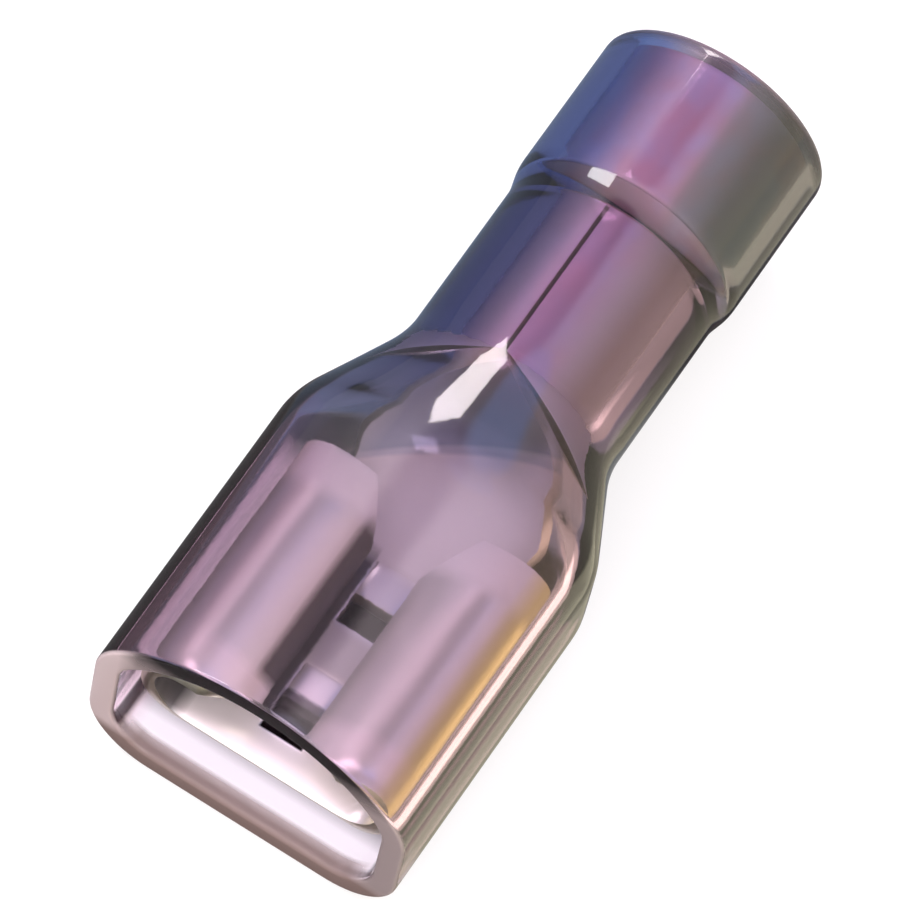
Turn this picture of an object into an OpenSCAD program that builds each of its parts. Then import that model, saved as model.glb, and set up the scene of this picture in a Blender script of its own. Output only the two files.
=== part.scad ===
// Fully insulated female spade terminal for a flat blade tab.
// The wire axis lies along X: the tab goes in at the low X end, the wire at the high X end.
// The terminal lies on the flat underside of its socket, with the crown of the socket up.

/* [Socket of the cover] */
// Height of the socket from its flat underside to its crown
socket_height = 7; // [6.6:0.1:7.6]
// Wall of the socket
socket_wall = 0.7; // [0.5:0.05:0.8]
// Radius of the two lower corners
lower_corner_radius = 1.9; // [1.5:0.1:2.2]
// Radius of the two upper corners
upper_corner_radius = 2; // [1.6:0.1:2.4]
// Radius of the arched crown between the upper corners
crown_radius = 5.2; // [4.9:0.1:6]
// Distance from the mouth to the corner where the shoulder begins
socket_length = 9; // [8.8:0.1:9.6]
// Bevel inside the edge of the mouth
mouth_bevel = 0.15; // [0.05:0.05:0.3]
// Bevel outside the edge of the mouth
mouth_edge = 0.08; // [0.04:0.02:0.16]

/* [Shoulder of the cover] */
// Length of the sloping shoulder between socket and barrel
shoulder_length = 3; // [2.6:0.1:3.6]
// Half length of the rounding where the shoulder leaves the socket
shoulder_rounding = 1; // [0.6:0.1:1.2]
// Half length of the fillet where the shoulder runs into the barrel
barrel_fillet = 0.6; // [0.3:0.1:0.8]
// Distance by which the inside of the shoulder lies ahead of the outside
shoulder_wall_shift = 0.3; // [0.1:0.05:0.4]

/* [Barrel of the cover] */
// Outer diameter of the narrow barrel round the crimp
barrel_diameter = 6.2; // [5.8:0.05:6.4]
// Length of the narrow barrel, from the shoulder to the step
barrel_length = 5.1; // [4.8:0.1:5.8]
// Outer diameter of the wire entry
entry_diameter = 6.55; // [6.5:0.05:7]
// Length of the conical step between the barrel and the wire entry
step_length = 0.65; // [0.4:0.05:0.9]
// Length of the wire entry behind the step
entry_length = 4.4; // [3.6:0.1:5]
// Rounding of the rear edge
rear_rounding = 0.22; // [0.1:0.02:0.3]

/* [Receptacle] */
// Thickness of the stamped strip
strip = 0.4; // [0.3:0.05:0.45]
// Thickness of the tab that the receptacle grips
tab_thickness = 0.8; // [0.8:0.05:0.9]
// Width of the tab that the receptacle guides
tab_width = 6.3; // [6:0.1:6.5]
// Clearance between the tab and each rolled side
tab_clearance = 0.1; // [0.05:0.05:0.15]
// Height of the rolled sides above the underside of the strip
roll_height = 2.4; // [2.2:0.05:2.6]
// Gap between the tips of the two rolled sides
roll_gap = 1.7; // [1.5:0.1:2]
// Length of the rolled sides
roll_length = 7.4; // [6.8:0.1:7.5]
// Distance from the mouth of the cover to the front of the receptacle
mouth_recess = 0.95; // [0.8:0.05:1.2]
// Length of the sloping lead-in at the front of the floor
lead_in = 0.35; // [0.2:0.05:0.5]
// Length by which the tips of the rolled sides are cut back at the front
tip_cut_length = 0.8; // [0.3:0.1:1]
// Width of that cut, from the gap between the tips outwards
tip_cut_width = 1.4; // [0.5:0.1:1.5]
// Length by which the tips of the rolled sides are cut back at the rear
rear_cut_length = 1.5; // [0.5:0.1:1.8]
// Width of that cut, from the gap between the tips outwards
rear_cut_width = 1; // [0.5:0.1:1.5]

/* [Lances in the floor] */
// Width of each lance and its window
lance_width = 1.2; // [1:0.1:1.4]
// Length of each lance, from its root to its free edge
lance_length = 1.2; // [1:0.1:1.3]
// Length of the window in front of each lance
window_length = 0.78; // [0.6:0.02:0.9]
// Height of the free edge of each lance above the floor
lance_rise = 0.22; // [0.1:0.02:0.3]
// Distance from the front of the receptacle to the first window
first_window = 0.85; // [0.7:0.05:1]
// Distance between the two windows
window_pitch = 3.4; // [3.2:0.1:3.5]

/* [Crimp barrel] */
// Outer diameter of the crimp barrel
crimp_diameter = 4; // [3.8:0.05:4.1]
// Length of the round crimp barrel
crimp_length = 5.3; // [4.8:0.1:5.5]
// Width of the butt seam along the crimp barrel
seam_width = 0.14; // [0.1:0.02:0.3]
// Angle of the seam from the top of the barrel
seam_angle = -12; // [-30:1:30]
// Width of the neck where it leaves the receptacle
neck_width = 4.4; // [4:0.1:4.8]
// Length of the floor, ahead of the rear ends of the rolled sides, over which the neck begins to bend
neck_lead = 1.4; // [1.3:0.1:1.6]

/* [Wire support sleeve] */
// Wall of the tinned copper sleeve
sleeve_wall = 0.2; // [0.15:0.05:0.3]
// Outer diameter of the sleeve
sleeve_diameter = 5.3; // [5.1:0.05:5.4]
// Length of the sleeve
sleeve_length = 4; // [3.4:0.1:4.1]
// Distance from the rear edge of the cover to the sleeve
sleeve_recess = 0.3; // [0.2:0.05:0.5]

/* [Fits] */
// Gap between each rolled side of the receptacle and the side wall of the socket
side_gap = 0.175; // [0.1:0.025:0.4]
// Radial clearance between the metal pieces and the cover
fit_clearance = 0.02; // [0.01:0.01:0.04]

/* [Hidden] */
$fn = 96;
arc_steps = 7;
crown_steps = 7;
side_steps = 3;
flat_steps = 6;
rounding_steps = 3;
shoulder_steps = 16;
neck_steps = 14;
trough_steps = 25;
start_turn = 107;
overshoot = 0.5;
// Where two pieces of the same stamping or moulding run into each other, one ends this much inside the other
weld_depth = 0.3;
weld_step = 0.04;
// Bend of the strip across the neck where it leaves the receptacle
flat_bend = 8;

axis_z = socket_height / 2;
receptacle_width = tab_width + 2 * (tab_clearance + strip);
socket_width = receptacle_width + 2 * (side_gap + socket_wall);
shoulder_end = socket_length + shoulder_length;
step_start = shoulder_end + barrel_length;
step_end = step_start + step_length;
overall_length = step_end + entry_length;

// Outline of the socket: the crown is an arc that runs tangent into the upper corners
crown_z = socket_height - crown_radius;
upper_corner_y = socket_width / 2 - upper_corner_radius;
upper_corner_z = crown_z + sqrt(pow(crown_radius - upper_corner_radius, 2) - pow(upper_corner_y, 2));
crown_angle = atan2(upper_corner_z - crown_z, upper_corner_y);
lower_corner_y = socket_width / 2 - lower_corner_radius;

bore_radius = crimp_diameter / 2 + fit_clearance;
seat_radius = sleeve_diameter / 2 + fit_clearance;
seat_start = overall_length - sleeve_recess - sleeve_length - fit_clearance;
funnel_length = seat_radius - bore_radius;
inner_shoulder_start = socket_length - shoulder_wall_shift;
inner_shoulder_end = shoulder_end - shoulder_wall_shift;

// Rolled side of the receptacle: a round roll, then a flatter arc down to the tip
strip_z = axis_z - crimp_diameter / 2;
roll_radius = roll_height / 2;
roll_y = receptacle_width / 2 - roll_radius;
tip_drop = roll_height - 2 * strip - tab_thickness;
tip_run = roll_y - roll_gap / 2;
wing_radius = (pow(tip_run, 2) + pow(tip_drop, 2)) / (2 * tip_drop);
wing_angle = asin(tip_run / wing_radius);
roll_start = mouth_recess;
roll_end = roll_start + roll_length;

// The crimp barrel ends where the funnel of the cover begins
crimp_end = seat_start - funnel_length - fit_clearance;
crimp_start = crimp_end - crimp_length;
crimp_axis_radius = crimp_diameter / 2 - strip / 2;

function mix(a, b, k) = a + (b - a) * k;
function arc(centre, radius, from, to, steps) =
    [for (i = [0 : steps]) centre + radius * [cos(mix(from, to, i / steps)), sin(mix(from, to, i / steps))]];
// Points between two corners, without the corners themselves
function edge(a, b, steps) = [for (i = [1 : steps - 1]) mix(a, b, i / steps)];
// A hinge between level and sloping, rounded over the length b on each side
function hinge(u, b) = u <= -b ? 0 : u >= b ? u : pow(u + b, 2) / (4 * b);
// Smooth passage from 0 to 1
function ease(u) = u * u * (3 - 2 * u);

// Right half of the socket's outline in the YZ plane, drawn inwards by the inset
function half_loaf(inset) = let (
    low = arc([lower_corner_y, lower_corner_radius], lower_corner_radius - inset, -90, 0, arc_steps),
    up = arc([upper_corner_y, upper_corner_z], upper_corner_radius - inset, 0, crown_angle, arc_steps),
    crown = arc([0, crown_z], crown_radius - inset, crown_angle, 90, crown_steps))
    concat(edge([0, inset], low[0], flat_steps), low, edge(low[arc_steps], up[0], side_steps), up,
        [for (i = [1 : crown_steps]) crown[i]]);

// The whole outline, from the middle of the flat underside round by +Y
function loaf(inset) = let (half = half_loaf(inset), count = len(half))
    concat([[0, inset]], half, [for (i = [count - 2 : -1 : 0]) [-half[i][0], half[i][1]]]);

// An outline at x, drawn towards a circle round the wire axis, k of the way
function ring(x, outline, radius = 1, k = 0) =
    [for (p = outline)
        let (arm = p - [0, axis_z], q = [0, axis_z] + arm * mix(1, radius / norm(arm), k))
        [x, q[0], q[1]]];

function shoulder_rings(outline, radius, start, end) = let (
    first = start - shoulder_rounding,
    last = end + barrel_fillet)
    [for (i = [0 : shoulder_steps])
        let (x = mix(first, last, i / shoulder_steps),
             k = (hinge(x - start, shoulder_rounding) - hinge(x - end, barrel_fillet)) / (end - start))
        ring(x, outline, radius, k)];

function about_axis(p, turn) =
    [0, axis_z] + [[cos(turn), -sin(turn)], [sin(turn), cos(turn)]] * (p - [0, axis_z]);

// Section of the strip, bent to a trough with its underside on strip_z, then twisted about the wire axis
function trough_ring(x, width, bend, twist) = let (
    radius = width / bend * 180 / PI,
    centre = [0, strip_z + strip / 2 + radius],
    ends = [-90 - bend / 2, -90 + bend / 2],
    half = strip / 2 - weld_step,
    outer = arc(centre, radius + half, ends[0], ends[1], trough_steps),
    inner = arc(centre, radius - half, ends[1], ends[0], trough_steps))
    [for (p = concat(outer, inner)) let (q = about_axis(p, twist)) [x, q[0], q[1]]];

// Triangles that close an end ring: round its own centre, or across the band between two arcs
function fan(first, count, hub) = [for (j = [0 : count - 1]) [hub, first + j, first + (j + 1) % count]];
function band(first, count) = [for (j = [0 : count / 2 - 2])
    let (a = first + j, b = first + count - 1 - j)
    each [[a, a + 1, b], [a + 1, b - 1, b]]];
function turned(faces) = [for (f = faces) [f[0], f[2], f[1]]];
function hub_of(ring) = [for (p = ring) 1 / len(ring)] * ring;

// Solid through a list of rings that have as many points each
module loft(rings, open_section = false) {
    count = len(rings[0]);
    total = len(rings) * count;
    last = total - count;
    sides = [for (i = [0 : len(rings) - 2]) for (j = [0 : count - 1])
        let (a = i * count + j, b = i * count + (j + 1) % count)
        each [[a, b + count, b], [a, a + count, b + count]]];
    front = open_section ? band(0, count) : fan(0, count, total);
    back = open_section ? band(last, count) : fan(last, count, total + 1);
    hubs = open_section ? [] : [hub_of(rings[0]), hub_of(rings[len(rings) - 1])];
    polyhedron(concat([for (ring = rings) each ring], hubs), concat(front, turned(back), sides));
}

// Moves a piece so that the origin lies under the middle of the part
module centred() {
    translate([-overall_length / 2, 0, 0]) children();
}

// Turns a profile drawn in Y and Z into a bar along X
module bar(start, length) {
    translate([start, 0, 0]) rotate([90, 0, 90]) linear_extrude(length) children();
}

// Round bar along the wire axis, turned so that its own start line meets no edge of a loft
module rod(start, length, r1, r2) {
    translate([start, 0, axis_z]) rotate([start_turn, 0, 0]) rotate([0, 90, 0])
        cylinder(h = length, r1 = r1, r2 = r2);
}

module cover_outside() {
    outline = loaf(0);
    rear = arc([overall_length - rear_rounding, entry_diameter / 2 - rear_rounding], rear_rounding, 90, 0,
        rounding_steps);
    loft(concat(
        [ring(0, loaf(mouth_edge)), ring(mouth_edge, outline)],
        shoulder_rings(outline, barrel_diameter / 2, socket_length, shoulder_end),
        [ring(step_start, outline, barrel_diameter / 2, 1), ring(step_end, outline, entry_diameter / 2, 1)],
        [for (p = rear) ring(p[0], outline, p[1], 1)]));
}

module cover_inside() {
    outline = loaf(socket_wall);
    loft(concat(
        [ring(-overshoot, loaf(socket_wall - mouth_bevel)), ring(0, loaf(socket_wall - mouth_bevel)),
         ring(mouth_bevel, outline)],
        shoulder_rings(outline, bore_radius + weld_step, inner_shoulder_start, inner_shoulder_end)));
    rod(inner_shoulder_end, overall_length, bore_radius, bore_radius);
    rod(seat_start - funnel_length, funnel_length, bore_radius, seat_radius);
    rod(seat_start, overall_length, seat_radius, seat_radius);
}

module insulating_cover() {
    color([0.5, 0.47, 0.68, 0.6]) centred() difference() {
        cover_outside();
        cover_inside();
    }
}

// Part of a ring between two angles, both counted from +Y towards +Z
module ring_sector(radius, from, to) {
    reach = 2 * radius;
    intersection() {
        difference() {
            circle(radius + strip / 2);
            circle(radius - strip / 2);
        }
        polygon(concat([[0, 0]], arc([0, 0], reach, from, to, 6)));
    }
}

module rolled_side() {
    translate([roll_y, roll_radius]) ring_sector(roll_radius - strip / 2, -90, 90);
    translate([roll_y, roll_height - strip / 2 - wing_radius])
        ring_sector(wing_radius, 90, 90 + wing_angle);
}

module receptacle_profile() {
    translate([-roll_y, 0]) square([2 * roll_y, strip]);
    rolled_side();
    mirror([1, 0]) rolled_side();
}

// Wedges that cut the tips of the rolled sides back at one end; inward is 1 at the front and -1 at the rear
module tip_cuts(end, inward, length, width) {
    for (side = [-1, 1]) translate([end, side * roll_gap / 2, strip_z + strip + tab_thickness / 2])
        linear_extrude(roll_height) polygon([
            [-inward * overshoot, -side * roll_gap], [inward * length, -side * roll_gap], [inward * length, 0],
            [0, side * width], [-inward * overshoot, side * width]]);
}

// Wedge that slopes the front edge of the floor down towards the tab
module floor_lead_in() {
    translate([roll_start, roll_y, strip_z + strip]) rotate([90, 0, 0]) linear_extrude(2 * roll_y)
        polygon([[-overshoot, overshoot], [-overshoot, -strip / 2], [0, -strip / 2], [lead_in, 0], [lead_in, overshoot]]);
}

// A window through the floor with a lance behind it that rises towards the tab
module lance(start) {
    root = start + window_length + lance_length;
    translate([root, lance_width / 2, strip_z]) rotate([90, 0, 0]) linear_extrude(lance_width)
        polygon([[0, 0], [0, strip], [-lance_length, strip + lance_rise], [-lance_length, lance_rise]]);
}

module lance_opening(start) {
    translate([start, -lance_width / 2, strip_z - overshoot])
        cube([window_length + lance_length, lance_width, strip + 2 * overshoot]);
}

// The strip leaves the receptacle nearly flat and closes into the crimp barrel
module neck() {
    closed = 360 - 3 * 360 * seam_width / (PI * crimp_diameter);
    full_width = 2 * PI * crimp_axis_radius * closed / 360;
    start = roll_end - neck_lead;
    end = crimp_start + weld_depth;
    loft([for (i = [0 : neck_steps])
        let (u = i / neck_steps, k = u * ease(u))
        trough_ring(mix(start, end, u), mix(neck_width, full_width, k), mix(flat_bend, closed, k), seam_angle * k)],
        open_section = true);
}

module crimp_barrel() {
    difference() {
        rod(crimp_start, crimp_length, crimp_diameter / 2, crimp_diameter / 2);
        rod(crimp_start - overshoot, crimp_length + 2 * overshoot,
            crimp_diameter / 2 - strip, crimp_diameter / 2 - strip);
        translate([0, 0, axis_z]) rotate([seam_angle, 0, 0])
            translate([crimp_start - overshoot, -seam_width / 2, 0])
                cube([crimp_length + 2 * overshoot, seam_width, crimp_diameter]);
    }
}

module receptacle_terminal() {
    windows = [for (i = [0, 1]) roll_start + first_window + i * window_pitch];
    color("silver") centred() {
        difference() {
            translate([0, 0, strip_z]) bar(roll_start, roll_length) receptacle_profile();
            tip_cuts(roll_start, 1, tip_cut_length, tip_cut_width);
            tip_cuts(roll_end, -1, rear_cut_length, rear_cut_width);
            floor_lead_in();
            for (start = windows) lance_opening(start);
        }
        for (start = windows) lance(start);
        neck();
        crimp_barrel();
    }
}

module wire_support_sleeve() {
    start = overall_length - sleeve_recess - sleeve_length;
    color([0.72, 0.6, 0.58]) centred() difference() {
        rod(start, sleeve_length, sleeve_diameter / 2, sleeve_diameter / 2);
        rod(start - overshoot, sleeve_length + 2 * overshoot,
            sleeve_diameter / 2 - sleeve_wall, sleeve_diameter / 2 - sleeve_wall);
    }
}

insulating_cover();
receptacle_terminal();
wire_support_sleeve();
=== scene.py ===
"""Insulated female spade terminal: the finish of its cover, its stamped receptacle and its copper sleeve."""

import math

import bmesh
import bpy
import numpy as np
from mathutils import Matrix, Vector


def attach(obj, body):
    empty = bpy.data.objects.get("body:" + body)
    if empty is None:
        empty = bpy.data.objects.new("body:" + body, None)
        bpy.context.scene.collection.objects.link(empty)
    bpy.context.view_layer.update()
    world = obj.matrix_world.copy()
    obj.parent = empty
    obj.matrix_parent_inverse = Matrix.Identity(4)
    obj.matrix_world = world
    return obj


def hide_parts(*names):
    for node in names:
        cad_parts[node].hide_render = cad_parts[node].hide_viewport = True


MM = 0.001

# Cover, in millimetres, measured along the wire axis from the mouth
SOCKET_H = 7.0
SOCKET_WALL = 0.7
LOWER_CORNER_R = 1.9
UPPER_CORNER_R = 2.0
CROWN_R = 5.2
SOCKET_LENGTH = 9.0
SHOULDER_LENGTH = 3.0
SHOULDER_ROUNDING = 0.6
BARREL_FILLET = 0.6
INNER_SHIFT = 0.3
BARREL_R = 3.1
BARREL_LENGTH = 5.1
ENTRY_R = 3.275
STEP_LENGTH = 0.65
SIDE_GAP = 0.175
ENTRY_LENGTH = 4.4
REAR_ROUNDING = 0.22
MOUTH_ROUNDING = 0.1
FIT = 0.02

# Receptacle
STRIP = 0.4
TAB_W = 6.3
TAB_T = 0.8
TAB_CLEARANCE = 0.1
ROLL_H = 2.4
ROLL_GAP = 1.7
ROLL_LENGTH = 7.4
MOUTH_RECESS = 0.95
LEAD_IN = 0.5
LEAD_DROP = 0.1
LEAD_RISE = 0.14
TIP_CUT_LENGTH = 0.8
TIP_CUT_WIDTH = 1.4
REAR_CUT_LENGTH = 1.5
REAR_CUT_WIDTH = 1.0
LANCE_W = 1.2
LANCE_LENGTH = 1.2
LANCE_RISE = 0.22
WINDOW_LENGTH = 0.78
FIRST_WINDOW = 0.85
WINDOW_PITCH = 3.4
NECK_W = 4.4
NECK_LEAD = 1.4
NECK_BLEND = 0.8
WELD = 0.3
EDGE_BREAK = 0.05
CRIMP_R = 2.0
CRIMP_LENGTH = 5.3
SEAM_W = 0.06
SEAM_TURN = math.radians(-12)

# Sleeve
SLEEVE_R = 2.65
SLEEVE_WALL = 0.2
SLEEVE_LENGTH = 4.0
SLEEVE_RECESS = 0.3

SOCKET_W = TAB_W + 2 * (TAB_CLEARANCE + STRIP + SIDE_GAP + SOCKET_WALL)
SHOULDER_END = SOCKET_LENGTH + SHOULDER_LENGTH
STEP_START = SHOULDER_END + BARREL_LENGTH
STEP_END = STEP_START + STEP_LENGTH
LENGTH = STEP_END + ENTRY_LENGTH
AXIS_Z = SOCKET_H / 2
BORE_R = CRIMP_R + FIT
SEAT_R = SLEEVE_R + FIT
SEAT_START = LENGTH - SLEEVE_RECESS - SLEEVE_LENGTH - FIT
FUNNEL_START = SEAT_START - (SEAT_R - BORE_R)
CRIMP_END = FUNNEL_START - FIT
CRIMP_START = CRIMP_END - CRIMP_LENGTH
STRIP_Z = STRIP / 2 - CRIMP_R
ROLL_START = MOUTH_RECESS
ROLL_END = ROLL_START + ROLL_LENGTH
WINDOWS = [ROLL_START + FIRST_WINDOW + i * WINDOW_PITCH for i in range(2)]

# Middle line of the rolled section: a half turn of the roll, then the flatter arc of the wing
ROLL_R = ROLL_H / 2 - STRIP / 2
ROLL_Y = TAB_W / 2 + TAB_CLEARANCE + STRIP - ROLL_H / 2
WING_RUN = ROLL_Y - ROLL_GAP / 2
WING_DROP = ROLL_H - 2 * STRIP - TAB_T
WING_R = (WING_RUN**2 + WING_DROP**2) / (2 * WING_DROP)
SECTION_REACH = ROLL_Y + math.pi * ROLL_R + WING_R * math.asin(WING_RUN / WING_R)


def mix(a, b, k):
    return a + (b - a) * k


def hinge(u, b):
    """Zero below, u above, joined by a parabola over the length b on each side."""
    return np.where(u <= -b, 0.0, np.where(u >= b, u, (u + b) ** 2 / (4 * b)))


def ease(u):
    return u * u * (3 - 2 * u)


def arc(cy, cz, radius, start, end, count=60):
    """Points at equal angles on a circle, as y and z."""
    turn = np.radians(np.linspace(start, end, count))
    return np.stack([cy + radius * np.cos(turn), cz + radius * np.sin(turn)], axis=1)


def loaf_radius(turn, inset):
    """Distance from the wire axis to the socket's outline at each angle.

    The right half is a flat, a lower corner arc, an upper corner arc and the crown arc laid end to end,
    all drawn inwards by the inset; the left half mirrors it.
    """
    crown_z = AXIS_Z - CROWN_R
    corner_y = SOCKET_W / 2 - UPPER_CORNER_R
    corner_z = crown_z + math.sqrt((CROWN_R - UPPER_CORNER_R) ** 2 - corner_y**2)
    tangent = math.degrees(math.atan2(corner_z - crown_z, corner_y))
    low_y = SOCKET_W / 2 - LOWER_CORNER_R
    flat = np.stack([np.linspace(0, low_y, 60), np.full(60, inset - AXIS_Z)], axis=1)
    low = arc(low_y, LOWER_CORNER_R - AXIS_Z, LOWER_CORNER_R - inset, -90, 0)
    side = np.stack([np.full(30, SOCKET_W / 2 - inset), np.linspace(low[-1, 1], corner_z, 30)], axis=1)
    up = arc(corner_y, corner_z, UPPER_CORNER_R - inset, 0, tangent)
    crown = arc(0, crown_z, CROWN_R - inset, tangent, 90)
    outline = np.concatenate([flat, low[1:], side[1:], up[1:], crown[1:]])
    angle = np.arctan2(outline[:, 1], outline[:, 0])
    folded = np.arctan2(np.sin(turn), np.abs(np.cos(turn)))
    return np.interp(folded, angle, np.hypot(outline[:, 0], outline[:, 1]))


def to_frame(x, y, z):
    """From millimetres along and about the wire axis to metres in the frame of the part."""
    return np.stack([x - LENGTH / 2, y, z + AXIS_Z], axis=-1) * MM


def grid_faces(rows, columns, wrap_rows=False, wrap_columns=False):
    """Quads between neighbours of a grid that is numbered row by row."""
    i = np.arange(rows if wrap_rows else rows - 1)
    j = np.arange(columns if wrap_columns else columns - 1)
    i, j = np.meshgrid(i, j, indexing="ij")
    i2, j2 = (i + 1) % rows, (j + 1) % columns
    quads = np.stack([i * columns + j, i2 * columns + j, i2 * columns + j2, i * columns + j2], axis=-1)
    return quads.reshape(-1, 4)


def add_piece(name, points, faces, materials, outward=True):
    mesh = bpy.data.meshes.new(name)
    mesh.from_pydata(points.reshape(-1, 3).tolist(), [], faces.tolist())
    for material in materials:
        mesh.materials.append(material)
    if outward:
        shell = bmesh.new()
        shell.from_mesh(mesh)
        bmesh.ops.recalc_face_normals(shell, faces=shell.faces)
        shell.to_mesh(mesh)
        shell.free()
    mesh.polygons.foreach_set("use_smooth", [True] * len(mesh.polygons))
    mesh.update()
    piece = bpy.data.objects.new(name, mesh)
    bpy.context.scene.collection.objects.link(piece)
    return piece


class Term:
    """One output of a shader node; sums and products of terms add Math nodes."""

    def __init__(self, tree, out):
        self.tree, self.out = tree, out

    def maths(self, operation, *values, clamp=False):
        made = self.tree.nodes.new("ShaderNodeMath")
        made.operation, made.use_clamp = operation, clamp
        for slot, value in zip(made.inputs, values):
            plug(self.tree, slot, value)
        return Term(self.tree, made.outputs[0])

    def __add__(self, other):
        return self.maths("ADD", self, other)

    def __radd__(self, other):
        return self.maths("ADD", other, self)

    def __sub__(self, other):
        return self.maths("SUBTRACT", self, other)

    def __rsub__(self, other):
        return self.maths("SUBTRACT", other, self)

    def __mul__(self, other):
        return self.maths("MULTIPLY", self, other)

    def __rmul__(self, other):
        return self.maths("MULTIPLY", other, self)

    def __truediv__(self, other):
        return self.maths("DIVIDE", self, other)

    def __abs__(self):
        return self.maths("ABSOLUTE", self)

    def clamped(self):
        return self.maths("ADD", self, 0.0, clamp=True)


def plug(tree, slot, value):
    if isinstance(value, Term):
        tree.links.new(value.out, slot)
    elif slot.type == "RGBA":
        slot.default_value = (*value, 1.0)
    else:
        slot.default_value = value


def add_node(tree, kind, settings=(), output=0, **inputs):
    """Any node: its settings are set first, then its sockets.

    A socket goes by its name with _ for a space, or by its number as s0, s1.
    """
    made = tree.nodes.new(kind)
    for key, value in dict(settings).items():
        setattr(made, key, value)
    for key, value in inputs.items():
        numbered = key[0] == "s" and key[1:].isdigit()
        slot = made.inputs[int(key[1:])] if numbered else made.inputs[key.replace("_", " ")]
        plug(tree, slot, value)
    return Term(tree, made.outputs[output])


def new_material(name):
    material = bpy.data.materials.new(name)
    material.use_nodes = True
    tree = material.node_tree
    tree.nodes.clear()
    return material, tree


def split_xyz(tree, vector):
    split = tree.nodes.new("ShaderNodeSeparateXYZ")
    tree.links.new(vector.out, split.inputs[0])
    return [Term(tree, out) for out in split.outputs]


def object_place(tree):
    """Object coordinates in millimetres, and their x, y and z."""
    place = add_node(tree, "ShaderNodeTexCoord", output="Object")
    scaled = add_node(tree, "ShaderNodeVectorMath", {"operation": "SCALE"}, Vector=place, Scale=1 / MM)
    return scaled, split_xyz(tree, scaled)


# Masks over a surface take places in millimetres: from the mouth, y towards the left and z from the ground
def rise(value, start, width):
    """Mask: 0 up to the start, 1 from the width past it, straight between."""
    return ((value - start) / width).clamped()


def fall(value, end, width):
    """Mask: 1 up to the width before the end, 0 from the end, straight between."""
    return ((end - value) / width).clamped()


def stretched(tree, place, scale):
    return add_node(tree, "ShaderNodeMapping", Vector=place, Scale=scale)


def noise(tree, place, scale, detail=3.0):
    return add_node(tree, "ShaderNodeTexNoise", Vector=place, Scale=scale, Detail=detail)


def colour_mix(tree, factor, a, b):
    return add_node(tree, "ShaderNodeMix", {"data_type": "RGBA"}, 2, s0=factor, s6=a, s7=b)


def mix_shader(tree, factor, first, second):
    return add_node(tree, "ShaderNodeMixShader", s0=factor, s1=first, s2=second)


def close_material(tree, surface, volume=None):
    output = tree.nodes.new("ShaderNodeOutputMaterial")
    tree.links.new(surface.out, output.inputs["Surface"])
    if volume is not None:
        tree.links.new(volume.out, output.inputs["Volume"])


# Tints of the nylon by place, left being the side of +Y; the side, shoulder, left and right ones are
# painted shade and painted reflections
NYLON_SOCKET = (0.99, 0.965, 0.98)
# painted shade: burgundy along the left wall of the socket
NYLON_SIDE_SHADE = (0.80, 0.62, 0.68)
# painted reflections on the shoulder: dark blue, greyer green towards its left
NYLON_SHOULDER_REFLECTION = (0.42, 0.52, 0.66)
NYLON_SHOULDER_LEFT_REFLECTION = (0.80, 0.90, 0.84)
NYLON_BLUSH = (0.98, 0.72, 0.84)
# painted reflection: blue on the left of the barrel
NYLON_LEFT_REFLECTION = (0.30, 0.46, 0.78)
NYLON_MIDDLE = (0.88, 0.78, 0.96)
# painted reflections: grey-green on the right of the barrel, darker at the rear
NYLON_RIGHT_REFLECTION = (0.92, 0.96, 0.96)
NYLON_REAR_RIGHT_REFLECTION = (0.44, 0.60, 0.50)
NYLON_CLOUD = (0.84, 0.76, 0.86)
MILK = (0.74, 0.60, 0.62)
MILK_LOW = (0.27, 0.19, 0.18)
ABSORPTION_COLOUR = (0.5, 0.32, 0.46)
ABSORPTION_DENSITY = 960.0

SHADE = (0.06, 0.055, 0.06)


def nylon_tint_and_light(tree, place, from_mouth, y, cloud):
    """Nearly clear on the socket, bluer on the shoulder, blue to lilac to grey-green across the barrel.

    The burgundy along the socket's left wall is painted shade; the blue of the shoulder, and the blue
    left and grey-green right of the barrel, are painted reflections.
    """
    # the painted reflection on the shoulder begins at this slanting, crisp line
    edge = fall(y, 1.7, 4.1) * 3.0 + rise(y, 2.2, 1.5) * 1.3 + 7.3
    on_shoulder = rise(from_mouth, edge, 0.15)
    on_barrel = rise(from_mouth, SOCKET_LENGTH + 1.2, 1.8)
    rear = rise(from_mouth, STEP_START, 0.8)
    # where the painted reflections lie across the barrel, to the left and to the right
    across = y / BARREL_R
    left = rise(across, 0.2, 0.45)
    right = (fall(across, -0.1, 0.7) + fall(across, -0.24, 0.08)) * 0.5
    blush = (noise(tree, stretched(tree, place, (0.5, 1.0, 1.0)), 0.7) * 4.0 - 1.6).clamped()
    barrel_tint_and_reflection = colour_mix(tree, blush, NYLON_MIDDLE, NYLON_BLUSH)
    # painted reflections: blue on the left, grey-green on the right
    barrel_tint_and_reflection = colour_mix(tree, left, barrel_tint_and_reflection, NYLON_LEFT_REFLECTION)
    right_reflection = colour_mix(tree, rear, NYLON_RIGHT_REFLECTION, NYLON_REAR_RIGHT_REFLECTION)
    barrel_tint_and_reflection = colour_mix(tree, right, barrel_tint_and_reflection, right_reflection)
    # painted reflection on the shoulder, greyer green on its left
    shoulder_reflection = colour_mix(tree, rise(y, 1.4, 0.8), NYLON_SHOULDER_REFLECTION, NYLON_SHOULDER_LEFT_REFLECTION)
    # painted shade: burgundy along the left wall of the socket
    tint_and_light = colour_mix(tree, rise(y, 3.4, 0.5), NYLON_SOCKET, NYLON_SIDE_SHADE)
    tint_and_light = colour_mix(tree, on_shoulder, tint_and_light, shoulder_reflection)
    tint_and_light = colour_mix(tree, on_barrel, tint_and_light, barrel_tint_and_reflection)
    return colour_mix(tree, cloud * 0.25, tint_and_light, NYLON_CLOUD)


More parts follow.
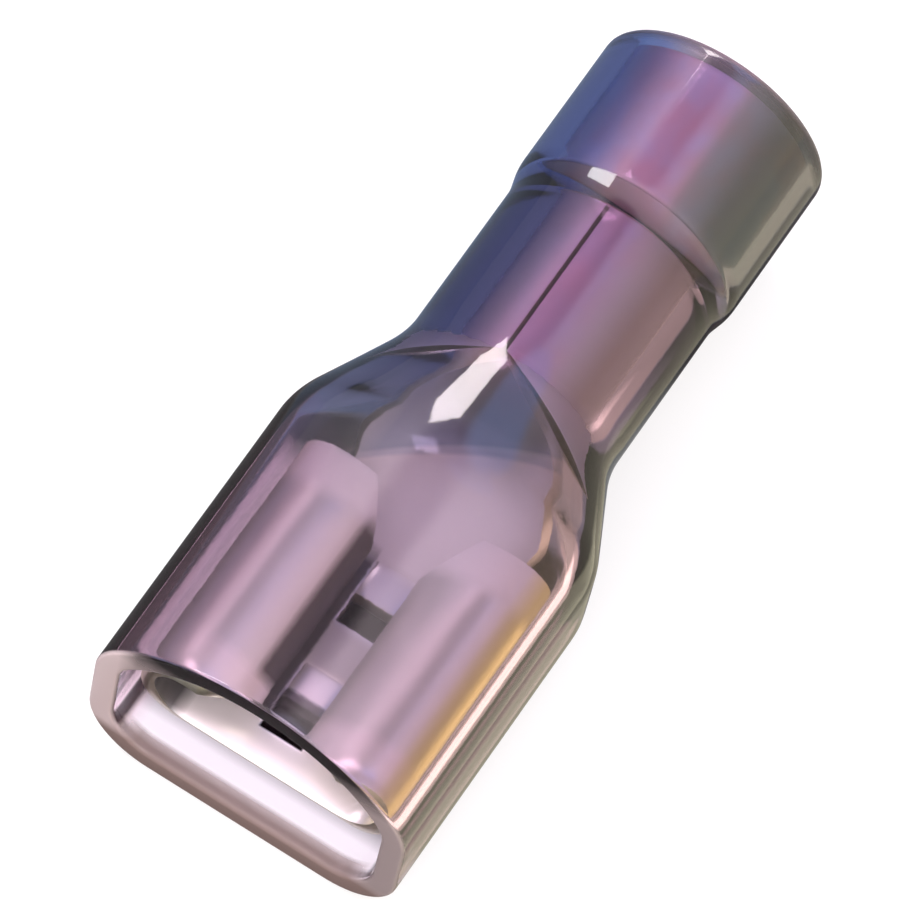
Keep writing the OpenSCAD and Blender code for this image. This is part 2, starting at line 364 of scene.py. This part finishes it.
def nylon():
    """Moulded nylon: glossy and smoky lilac in its depth.

    The face of the mouth is frosted, above all at its left end and not on the crown. The lower lip is a
    milky brown, and the rear face is a little frosted and rougher.
    """
    material, tree = new_material("translucent_nylon")
    place, (x, y, z) = object_place(tree)
    from_mouth = x + LENGTH / 2
    cloud = noise(tree, stretched(tree, place, (0.5, 1.0, 1.0)), 0.35)
    rear_face = rise(from_mouth, LENGTH - 0.25, 0.2)
    grain = noise(tree, place, 6.0, detail=2.0)
    ripple = noise(tree, stretched(tree, place, (0.25, 1.0, 1.0)), 0.8, detail=1.0)
    bump = add_node(tree, "ShaderNodeBump", Strength=0.25, Distance=0.02 * MM, Height=grain * 0.2 + ripple)
    clear = add_node(
        tree,
        "ShaderNodeBsdfPrincipled",
        Base_Color=nylon_tint_and_light(tree, place, from_mouth, y, cloud),
        Roughness=cloud * 0.03 + 0.04 + rear_face * 0.4,
        Normal=bump,
        IOR=1.5,
        Transmission_Weight=1.0,
    )
    low_rim = fall(z, 1.3, 0.5)
    lip = fall(from_mouth, 0.6, 0.15) * low_rim
    milk = colour_mix(tree, low_rim, MILK, MILK_LOW)
    milky = add_node(
        tree, "ShaderNodeBsdfPrincipled", Base_Color=milk, Roughness=0.5, Normal=bump, IOR=1.5
    )
    mouth_face = fall(from_mouth, 0.12, 0.1)
    left_wall = rise(y, 3.4, 0.5)
    crown = rise(z, 5.0, 1.0)
    mouth_frost = mouth_face * (0.5 + left_wall * 0.4 - crown * 0.5 - low_rim * 0.3)
    frost = (mouth_frost + rear_face * 0.12 + lip * 0.75 + 0.01).clamped()
    surface = mix_shader(tree, frost, clear, milky)
    volume = add_node(
        tree, "ShaderNodeVolumeAbsorption", Color=ABSORPTION_COLOUR, Density=ABSORPTION_DENSITY
    )
    close_material(tree, surface, volume)
    return material


def strip_shade(from_mouth, y, z):
    """Where the strip lies in deep shade: by the left wing, inside the left roll and at the first window."""
    to_side, up = y - ROLL_Y, z - (AXIS_Z - CRIMP_R + ROLL_H / 2)
    inside = fall(to_side * to_side + up * up, ROLL_R**2, 0.1)
    floor_top = rise(z, 1.72, 0.05) * fall(y, ROLL_Y, 0.1)
    low = fall(z, 2.3, 0.2) * (floor_top + inside).clamped()
    wing = (low + fall(y, 1.25, 0.2)).clamped() * rise(y, 0.62, 0.06)
    wing = wing * fall(from_mouth, 7.6, 0.6) * rise(from_mouth, 2.0, 0.4)
    hollow = rise(y, 2.3, 0.4) * fall(from_mouth, 2.6, 0.4) * inside
    window = rise(from_mouth, 1.75, 0.05) * fall(from_mouth, 2.95, 0.1) * fall(abs(y), 0.66, 0.05)
    return (wing + hollow + window).clamped()


def tin_plate():
    """Bright tin over brass, with fine lines from the rolling of the strip.

    It is brassy round the right roll and a little round the left, where the tin is thin at the bends; the
    stronger brass on the right is also a painted warm reflection. It is pale at its front edge and pale
    and matt on the neck, the paleness being painted light, and dark in the deep shade, which is painted.
    """
    material, tree = new_material("tin_plate")
    place, (x, y, z) = object_place(tree)
    from_mouth = x + LENGTH / 2
    # painted light: the front of the strip, seen through the mouth, is made paler
    front = fall(from_mouth, 2.4, 0.4) * fall(y, 2.9, 0.5)
    # painted light: the neck is made near white, besides being matt
    neck = rise(from_mouth, 6.9, 0.5) * fall(from_mouth, 12.4, 0.6)
    crimp = rise(from_mouth, 11.8, 0.6)
    lines = noise(tree, stretched(tree, place, (0.12, 3.0, 3.0)), 4.0, detail=4.0)
    patches = noise(tree, place, 0.9)
    # brass where the tin is thin at the bends, much stronger round the right roll as a painted warm
    # reflection
    bend = fall(y, -2.9, 0.5) + rise(y, 3.2, 0.5) * 0.3
    tone = colour_mix(tree, patches * 0.5, (0.86, 0.84, 0.83), (0.74, 0.72, 0.73))
    # painted light at the front of the strip
    tone = colour_mix(tree, front, tone, (0.97, 0.90, 0.92))
    # painted light on the neck
    tone = colour_mix(tree, neck, tone, (1.0, 0.98, 1.0))
    tone = colour_mix(tree, bend * 0.85, tone, (0.95, 0.85, 0.26))
    tone = colour_mix(tree, strip_shade(from_mouth, y, z) * 0.9, tone, SHADE)
    bump = add_node(tree, "ShaderNodeBump", Strength=0.2, Distance=0.01 * MM, Height=lines)
    surface = add_node(
        tree,
        "ShaderNodeBsdfPrincipled",
        Base_Color=tone,
        Metallic=0.65 - front * 0.15 - neck * 0.6 + crimp * 0.15,
        Roughness=lines * 0.16 + 0.26 + crimp * 0.2 + neck * 0.2,
        Normal=bump,
    )
    close_material(tree, surface)
    return material


def cut_brass():
    """Sheared edge of the strip, where the brass shows; dark in the shade of the first window."""
    material, tree = new_material("cut_brass")
    place, (x, y, _) = object_place(tree)
    from_mouth = x + LENGTH / 2
    tears = noise(tree, stretched(tree, place, (2.0, 2.0, 0.5)), 5.0)
    tone = colour_mix(tree, tears, (0.52, 0.46, 0.34), (0.62, 0.60, 0.56))
    window = rise(from_mouth, 1.6, 0.1) * fall(from_mouth, 3.0, 0.1) * fall(abs(y), 0.75, 0.05)
    tone = colour_mix(tree, window * 0.9, tone, SHADE)
    surface = add_node(
        tree, "ShaderNodeBsdfPrincipled", Base_Color=tone, Metallic=1.0, Roughness=tears * 0.2 + 0.25
    )
    close_material(tree, surface)
    return material


def tinned_copper():
    """Drawn copper tube under thin tin: greyish, with a rosy cast where the tin is thinnest."""
    material, tree = new_material("tinned_copper")
    place, _ = object_place(tree)
    lines = noise(tree, stretched(tree, place, (0.2, 3.0, 3.0)), 4.0)
    thin = rise(noise(tree, stretched(tree, place, (0.6, 1.0, 1.0)), 0.5), 0.42, 0.2)
    tone = colour_mix(tree, thin, (0.66, 0.66, 0.76), (0.78, 0.56, 0.56))
    bump = add_node(tree, "ShaderNodeBump", Strength=0.2, Distance=0.01 * MM, Height=lines)
    surface = add_node(
        tree,
        "ShaderNodeBsdfPrincipled",
        Base_Color=tone,
        Metallic=0.6,
        Roughness=lines * 0.1 + 0.65,
        Normal=bump,
    )
    close_material(tree, surface)
    return material


def quarter(start, end, radius, count=7):
    """Sine and cosine steps of a quarter turn, as distances from its corner."""
    turn = np.radians(np.linspace(start, end, count))
    return radius * (1 - np.cos(turn)), radius * (1 - np.sin(turn))


def stations(x, inset=0.0, k=0.0, radius=1.0):
    """Rings along the axis: x, inset of the socket's outline, and how far it is drawn to a circle."""
    x = np.atleast_1d(np.asarray(x, float))
    return np.stack([x, *(np.broadcast_to(v, x.shape) for v in (inset, k, radius))], axis=1)


def shoulder(start, end, x):
    """How far the socket has become a circle: a straight slope, rounded at both ends."""
    return (hinge(x - start, SHOULDER_ROUNDING) - hinge(x - end, BARREL_FILLET)) / (end - start)


def cover_stations():
    """One closed path: back along the outside, round the rear edge, forward inside, and round the mouth."""
    around, inward = quarter(0, 90, MOUTH_ROUNDING)
    x_out = np.linspace(SOCKET_LENGTH - SHOULDER_ROUNDING, SHOULDER_END + BARREL_FILLET, 80)
    x_step = np.linspace(STEP_START - 0.25, STEP_END + 0.25, 34)
    slope = (ENTRY_R - BARREL_R) / STEP_LENGTH
    r_step = BARREL_R + slope * (hinge(x_step - STEP_START, 0.2) - hinge(x_step - STEP_END, 0.2))
    rear_x, rear_r = quarter(90, 0, REAR_ROUNDING)
    inner_start, inner_end = SOCKET_LENGTH - INNER_SHIFT, SHOULDER_END - INNER_SHIFT
    x_in = np.linspace(inner_end + BARREL_FILLET, inner_start - SHOULDER_ROUNDING, 80)
    path = [
        stations(around, inward),
        stations(np.linspace(0.4, SOCKET_LENGTH - SHOULDER_ROUNDING - 0.3, 14)),
        stations(x_out, 0, shoulder(SOCKET_LENGTH, SHOULDER_END, x_out), BARREL_R),
        stations(np.linspace(SHOULDER_END + BARREL_FILLET + 0.3, STEP_START - 0.5, 6), 0, 1, BARREL_R),
        stations(x_step, 0, 1, r_step),
        stations(np.linspace(STEP_END + 0.5, LENGTH - REAR_ROUNDING - 0.1, 6), 0, 1, ENTRY_R),
        stations(LENGTH - rear_r[::-1], 0, 1, ENTRY_R - rear_x[::-1]),
        stations([LENGTH, LENGTH - 0.02, LENGTH - 0.06], 0, 1, [SEAT_R + 0.06, SEAT_R + 0.02, SEAT_R]),
        stations(np.linspace(LENGTH - 0.3, SEAT_START + 0.1, 6), 0, 1, SEAT_R),
        stations([SEAT_START + 0.02, SEAT_START - 0.02], 0, 1, [SEAT_R, SEAT_R - 0.02]),
        stations([FUNNEL_START + 0.02, FUNNEL_START - 0.02], 0, 1, [BORE_R + 0.02, BORE_R]),
        stations(np.linspace(FUNNEL_START - 0.2, inner_end + BARREL_FILLET + 0.2, 8), 0, 1, BORE_R),
        stations(x_in, SOCKET_WALL, shoulder(inner_start, inner_end, x_in), BORE_R),
        stations(np.linspace(inner_start - SHOULDER_ROUNDING - 0.3, 0.5, 14), SOCKET_WALL),
        stations(around[::-1] * 1.5, SOCKET_WALL - inward[::-1] * 1.5),
    ]
    return np.concatenate(path)


def build_cover(material, around=176):
    """A ring at each station: the outline's radius by angle, drawn to a circle by k."""
    turn = np.linspace(0, 2 * math.pi, around, endpoint=False) + 0.01
    path = cover_stations()
    insets, which = np.unique(path[:, 1], return_inverse=True)
    outlines = np.array([loaf_radius(turn, inset) for inset in insets])[which]
    x, k, radius = path[:, 0, None], path[:, 2, None], path[:, 3, None]
    reach = mix(outlines, radius, k)
    points = to_frame(np.broadcast_to(x, reach.shape), reach * np.cos(turn), reach * np.sin(turn))
    return add_piece("moulded_cover", points, grid_faces(len(path), around, True, True), [material])


def rolled_section(u):
    """Middle line of the rolled section at the distance u across the strip.

    Flat floor, then half a turn of the roll, then the flatter arc of the wing down to its tip.
    """
    reach, side = np.abs(u), np.sign(u)
    turn = np.clip((reach - ROLL_Y) / ROLL_R, 0, math.pi)
    fallen = np.maximum(reach - ROLL_Y - math.pi * ROLL_R, 0) / WING_R
    y = np.minimum(reach, ROLL_Y) + ROLL_R * np.sin(turn) - WING_R * np.sin(fallen)
    z = ROLL_R * (1 - np.cos(turn)) - WING_R * (1 - np.cos(fallen))
    return side * y, z


def stops_between(marks, step):
    """Places from the first mark to the last, no further apart than the step, with a place on every mark."""
    spans = []
    for a, b in zip(marks, marks[1:]):
        count = max(2, int(math.ceil((b - a) / step)) + 1)
        spans.append(np.linspace(a, b, count)[:-1])
    return np.concatenate([*spans, [marks[-1]]])


def sheet_faces(keep):
    """Quads of a grid, where keep is true for each."""
    rows, columns = keep.shape
    return grid_faces(rows + 1, columns + 1)[keep.reshape(-1)]


def lead(x):
    """How far the front edge of the strip is turned out, 0 to 1."""
    return np.clip((ROLL_START + LEAD_IN - x) / LEAD_IN, 0, 1) ** 2


def neck_sheet(x, across):
    """Middle sheet of the strip at x, where across runs from -1 to 1 between its edges.

    The flat strip closes into the crimp barrel: its width and its bend grow together, and it twists so that
    the seam ends up beside the top.
    """
    span = np.clip((x - ROLL_END + NECK_LEAD) / (CRIMP_START + WELD - ROLL_END + NECK_LEAD), 0, 1)
    k = span * ease(span)
    closed = 2 * math.pi - SEAM_W / CRIMP_R
    tube = CRIMP_R - STRIP / 2
    bend = mix(0.02, closed, k)
    radius = mix(NECK_W, tube * closed, k) / bend
    turn = across * bend / 2
    twist = SEAM_TURN * k
    y, z = radius * np.sin(turn), radius * (1 - np.cos(turn)) - tube
    return y * np.cos(twist) - z * np.sin(twist), y * np.sin(twist) + z * np.cos(twist) + tube


def build_terminal(materials):
    """The stamped strip as one bent sheet, thickened to the strip and with its edges broken."""
    half = NECK_W / 2
    cuts = [mark for window in WINDOWS for mark in (window, window + WINDOW_LENGTH + LANCE_LENGTH)]
    rows = stops_between([ROLL_START, *cuts, ROLL_END], 0.15)
    columns = stops_between([-half, -LANCE_W / 2, LANCE_W / 2, half], 0.15)
    x, u = np.meshgrid(rows, columns, indexing="ij")
    y, z = neck_sheet(x, u / half)
    floor = to_frame(x, y, z + STRIP_Z - LEAD_DROP * lead(x))
    mid_x = (rows[1:] + rows[:-1])[:, None] / 2
    mid_u = (columns[1:] + columns[:-1])[None] / 2
    opening = sum((mid_x > w) & (mid_x < w + WINDOW_LENGTH + LANCE_LENGTH) for w in WINDOWS) > 0
    points = [floor.reshape(-1, 3)]
    faces = [sheet_faces(~(opening & (np.abs(mid_u) < LANCE_W / 2)))]

    def add(block, quads):
        faces.append(quads + sum(len(p) for p in points))
        points.append(block.reshape(-1, 3))

    share = np.linspace(0, 1, 60)
    for side in (-1, 1):
        x, k = np.meshgrid(rows, share, indexing="ij")
        cut = TIP_CUT_WIDTH * np.clip(1 - (x - ROLL_START) / TIP_CUT_LENGTH, 0, 1)
        cut = cut + REAR_CUT_WIDTH * np.clip(1 - (ROLL_END - x) / REAR_CUT_LENGTH, 0, 1)
        edge_y, edge_z = neck_sheet(x, side)
        blend = np.clip(1 - (SECTION_REACH - half) * k / NECK_BLEND, 0, 1) ** 2
        y, z = rolled_section(side * mix(half, SECTION_REACH - cut, k))
        y, z = y + (edge_y - side * half) * blend, z + edge_z * blend
        lift = lead(x) * mix(-LEAD_DROP, LEAD_RISE, k)
        add(to_frame(x, y, z + STRIP_Z + lift), grid_faces(len(rows), len(share)))

    neck_x = np.linspace(ROLL_END, CRIMP_START, 40)
    along = np.concatenate([neck_x, np.linspace(CRIMP_START + 0.15, CRIMP_END, 36)])
    x, across = np.meshgrid(along, columns / half, indexing="ij")
    y, z = neck_sheet(x, across)
    add(to_frame(x, y, z + STRIP_Z), grid_faces(len(along), len(columns)))

    for window in WINDOWS:
        xs = np.linspace(window + WINDOW_LENGTH, window + WINDOW_LENGTH + LANCE_LENGTH, 12)
        us = np.linspace(-LANCE_W / 2 + 0.03, LANCE_W / 2 - 0.03, 8)
        x, u = np.meshgrid(xs, us, indexing="ij")
        lift = LANCE_RISE * ((xs[-1] - x) / LANCE_LENGTH)
        add(to_frame(x, u, STRIP_Z + lift), grid_faces(len(xs), len(us)))

    points, faces = np.concatenate(points), np.concatenate(faces)
    piece = add_piece("stamped_receptacle", points, faces, materials, outward=False)
    join = bmesh.new()
    join.from_mesh(piece.data)
    bmesh.ops.remove_doubles(join, verts=join.verts, dist=0.002 * MM)
    bmesh.ops.recalc_face_normals(join, faces=join.faces)
    join.to_mesh(piece.data)
    join.free()
    wall = piece.modifiers.new("strip thickness", "SOLIDIFY")
    wall.thickness = STRIP * MM
    wall.offset = 0.0
    wall.material_offset_rim = 1
    edge = piece.modifiers.new("broken edges", "BEVEL")
    edge.width = EDGE_BREAK * MM
    edge.segments = 2
    edge.limit_method = "ANGLE"
    edge.angle_limit = math.radians(50)
    return piece


def build_sleeve(material, around=128):
    """A tube with rounded ends: one closed path of rings."""
    start = LENGTH - SLEEVE_RECESS - SLEEVE_LENGTH
    end = start + SLEEVE_LENGTH
    edge = SLEEVE_WALL / 2
    turn = np.radians(np.linspace(-90, 90, 9))
    middle = SLEEVE_R - edge
    x = np.concatenate([end - edge + edge * np.cos(turn), start + edge - edge * np.cos(turn)])
    r = np.concatenate([middle + edge * np.sin(turn), middle - edge * np.sin(turn)])[:, None]
    ring = np.linspace(0, 2 * math.pi, around, endpoint=False)
    points = to_frame(np.broadcast_to(x[:, None], (len(x), around)), r * np.cos(ring), r * np.sin(ring))
    return add_piece("copper_sleeve", points, grid_faces(len(x), around, True, True), [material])


VIEW_RIGHT = Vector((0.530, -0.841, 0.107))
VIEW_UP = Vector((0.735, 0.519, 0.4365))
VIEW_MIDDLE = Vector((10.2 - LENGTH / 2, 0.5, AXIS_Z))
VIEW_WIDTH = 22.5
SENSOR = 36.0
LENS = 400.0


def add_camera():
    """A long lens, so that the view is nearly parallel, rolled so that the part lies slantwise."""
    back = VIEW_RIGHT.cross(VIEW_UP).normalized()
    up = back.cross(VIEW_RIGHT).normalized()
    right = up.cross(back)
    data = bpy.data.cameras.new("camera")
    data.sensor_width = SENSOR
    data.lens = LENS
    data.clip_start = 0.01
    data.clip_end = 10.0
    target = VIEW_MIDDLE * MM
    distance = VIEW_WIDTH * MM * LENS / SENSOR
    camera = bpy.data.objects.new("camera", data)
    bpy.context.scene.collection.objects.link(camera)
    turned = Matrix((right, up, back)).transposed().to_4x4()
    camera.matrix_world = Matrix.Translation(target + back * distance) @ turned
    bpy.context.scene.camera = camera


def towards(azimuth, elevation):
    a, e = math.radians(azimuth), math.radians(elevation)
    return Vector((math.cos(e) * math.cos(a), math.cos(e) * math.sin(a), math.sin(e)))


def add_softbox(name, azimuth, elevation, size, radiance, colour=(1, 1, 1), distance=90):
    """An area lamp that faces the part; its power follows from how bright its face is."""
    data = bpy.data.lights.new(name, "AREA")
    data.shape = "RECTANGLE"
    data.size, data.size_y = size[0] * MM, size[1] * MM
    data.energy = radiance * math.pi * data.size * data.size_y
    data.color = colour
    lamp = bpy.data.objects.new(name, data)
    bpy.context.scene.collection.objects.link(lamp)
    aim = towards(azimuth, elevation)
    lamp.location = Vector((0, 0, AXIS_Z)) * MM + aim * distance * MM
    lamp.rotation_euler = aim.to_track_quat("Z", "Y").to_euler()
    return lamp


OVERHEAD = (1.86, 1.70, 1.74)
LOW_LEFT = (0.40, 0.44, 0.50)
LOW_RIGHT = (0.90, 0.76, 0.46)
LOW_FRONT = (0.95, 0.88, 0.88)
DULL_PATCH = (0.12, 0.12, 0.16)
BLUE_PATCH = (1.1, 1.6, 2.9)


def add_world():
    """Soft studio: pale overhead; low down it is dull blue to the left, olive to the right, pale in front.

    High up behind the part it has a dull patch, which the flat metal mirrors, and beside that a bright blue
    one for the bluish reflection on the neck. The camera sees plain white.
    """
    world = bpy.data.worlds.new("studio")
    bpy.context.scene.world = world
    world.use_nodes = True
    tree = world.node_tree
    tree.nodes.clear()
    x, y, z = split_xyz(tree, add_node(tree, "ShaderNodeTexCoord", output="Generated"))
    side = (y * 0.9 + x * 0.45 + 0.5).clamped()
    low = colour_mix(tree, side, LOW_RIGHT, LOW_LEFT)
    low = colour_mix(tree, fall(x, -0.2, 1.0), low, LOW_FRONT)
    sky = colour_mix(tree, rise(z, 0.35, 0.45), low, OVERHEAD)
    dull = rise(x * 0.42 + y * 0.15 + z * 0.89, 0.945, 0.035)
    sky = colour_mix(tree, dull * 0.95, sky, DULL_PATCH)
    blue = rise(x * 0.655 - y * 0.139 + z * 0.743, 0.962, 0.02)
    sky = colour_mix(tree, blue, sky, BLUE_PATCH)
    seen = add_node(tree, "ShaderNodeLightPath", output="Is Camera Ray")
    light = add_node(tree, "ShaderNodeBackground", Color=sky, Strength=1.0)
    white = add_node(tree, "ShaderNodeBackground", Color=(1, 1, 1), Strength=1.0)
    output = tree.nodes.new("ShaderNodeOutputWorld")
    tree.links.new(mix_shader(tree, seen, light, white).out, output.inputs["Surface"])


def lit_matt(tree, colour, glow, strength):
    """A matt surface that also glows."""
    matt = add_node(tree, "ShaderNodeBsdfDiffuse", Color=colour)
    light = add_node(tree, "ShaderNodeEmission", Color=glow, Strength=strength)
    return add_node(tree, "ShaderNodeAddShader", s0=matt, s1=light)


def add_floor():
    """A wide pale floor that keeps a soft shadow.

    Reflected and refracted rays find it dark, with a glow in bands beside the part: a pale one along the
    left of the socket, a warm one to the right, and a blue one to the left of the barrel. Refracted rays
    also find it bright in front of the mouth, a painted pool of the light that enters there, and nearly
    black under the socket, a painted shadow.
    """
    mesh = bpy.data.meshes.new("floor")
    reach = 400 * MM
    corners = [(-reach, -reach, 0), (reach, -reach, 0), (reach, reach, 0), (-reach, reach, 0)]
    mesh.from_pydata(corners, [], [(0, 1, 2, 3)])
    material, tree = new_material("pale_floor")
    _, (x, y, _) = object_place(tree)
    from_mouth = x + LENGTH / 2
    half = SOCKET_W / 2
    # painted light: refracted rays find the floor bright in front of the mouth
    open_front = fall(from_mouth, 2.0, 0.8) * fall(abs(y), half - 0.3, 0.3)
    # painted shadow: refracted rays find the floor nearly black under the socket
    under = rise(from_mouth, 1.5, 0.8) * fall(from_mouth, SHOULDER_END, 1.5) * fall(abs(y), half - 0.1, 0.5)
    before_step = fall(from_mouth, 17.5, 2.5)
    left_band = rise(y, 4.8, 0.3) * fall(y, 6.0, 0.3) * fall(from_mouth, 10.0, 1.0)
    right = fall(y, -4.2, 0.4)
    far_right = fall(y, -6.8, 0.6) * before_step
    right_of_barrel = fall(y, -2.6, 0.4) * rise(from_mouth, SHOULDER_END, 1.0) * before_step
    left_of_barrel = rise(y, 1.5, 1.5) * rise(from_mouth, SHOULDER_END, 1.5)
    path = tree.nodes.new("ShaderNodeLightPath")
    camera = Term(tree, path.outputs["Is Camera Ray"])
    glossy = Term(tree, path.outputs["Is Glossy Ray"])
    through = Term(tree, path.outputs["Is Transmission Ray"])
    cast = colour_mix(tree, right, (0.95, 1.0, 0.99), (0.94, 0.87, 0.62))
    cast = colour_mix(tree, left_of_barrel, cast, (0.25, 0.46, 0.80))
    beside = left_band * 0.9 + right * 0.55 + far_right * 1.2 + right_of_barrel * 0.3 + left_of_barrel * 0.32
    strength = (glossy + through) * beside + through * (0.02 * (1 - under) + open_front * 1.65)
    seen = lit_matt(tree, (0.32, 0.31, 0.31), (1, 1, 1), 0.7)
    unseen = lit_matt(tree, (0.08, 0.08, 0.08), cast, strength)
    close_material(tree, mix_shader(tree, camera, unseen, seen))
    mesh.materials.append(material)
    floor = bpy.data.objects.new("floor", mesh)
    floor.location.z = -0.01 * MM
    bpy.context.scene.collection.objects.link(floor)


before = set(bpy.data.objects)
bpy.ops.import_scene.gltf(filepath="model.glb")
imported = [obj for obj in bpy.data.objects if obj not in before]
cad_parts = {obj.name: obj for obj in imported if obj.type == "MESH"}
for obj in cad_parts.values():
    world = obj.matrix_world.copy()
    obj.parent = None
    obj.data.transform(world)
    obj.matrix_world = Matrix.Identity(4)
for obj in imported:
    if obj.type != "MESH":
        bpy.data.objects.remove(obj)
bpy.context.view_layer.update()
bpy.context.scene.view_settings.view_transform = "Standard"
add_camera()
add_world()
add_softbox("window_side", 92, 50, (24, 36), 14)
add_softbox("window_back", 28.5, 43, (33, 39), 17, colour=(1.0, 0.90, 0.92), distance=150)
add_softbox("window_front", 195, 38, (40, 30), 6)
add_floor()

cover = build_cover(nylon())
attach(cover, "root")
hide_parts("insulating_cover")

terminal = build_terminal([tin_plate(), cut_brass()])
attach(terminal, "root")
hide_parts("receptacle_terminal")

sleeve = build_sleeve(tinned_copper())
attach(sleeve, "root")
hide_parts("wire_support_sleeve")
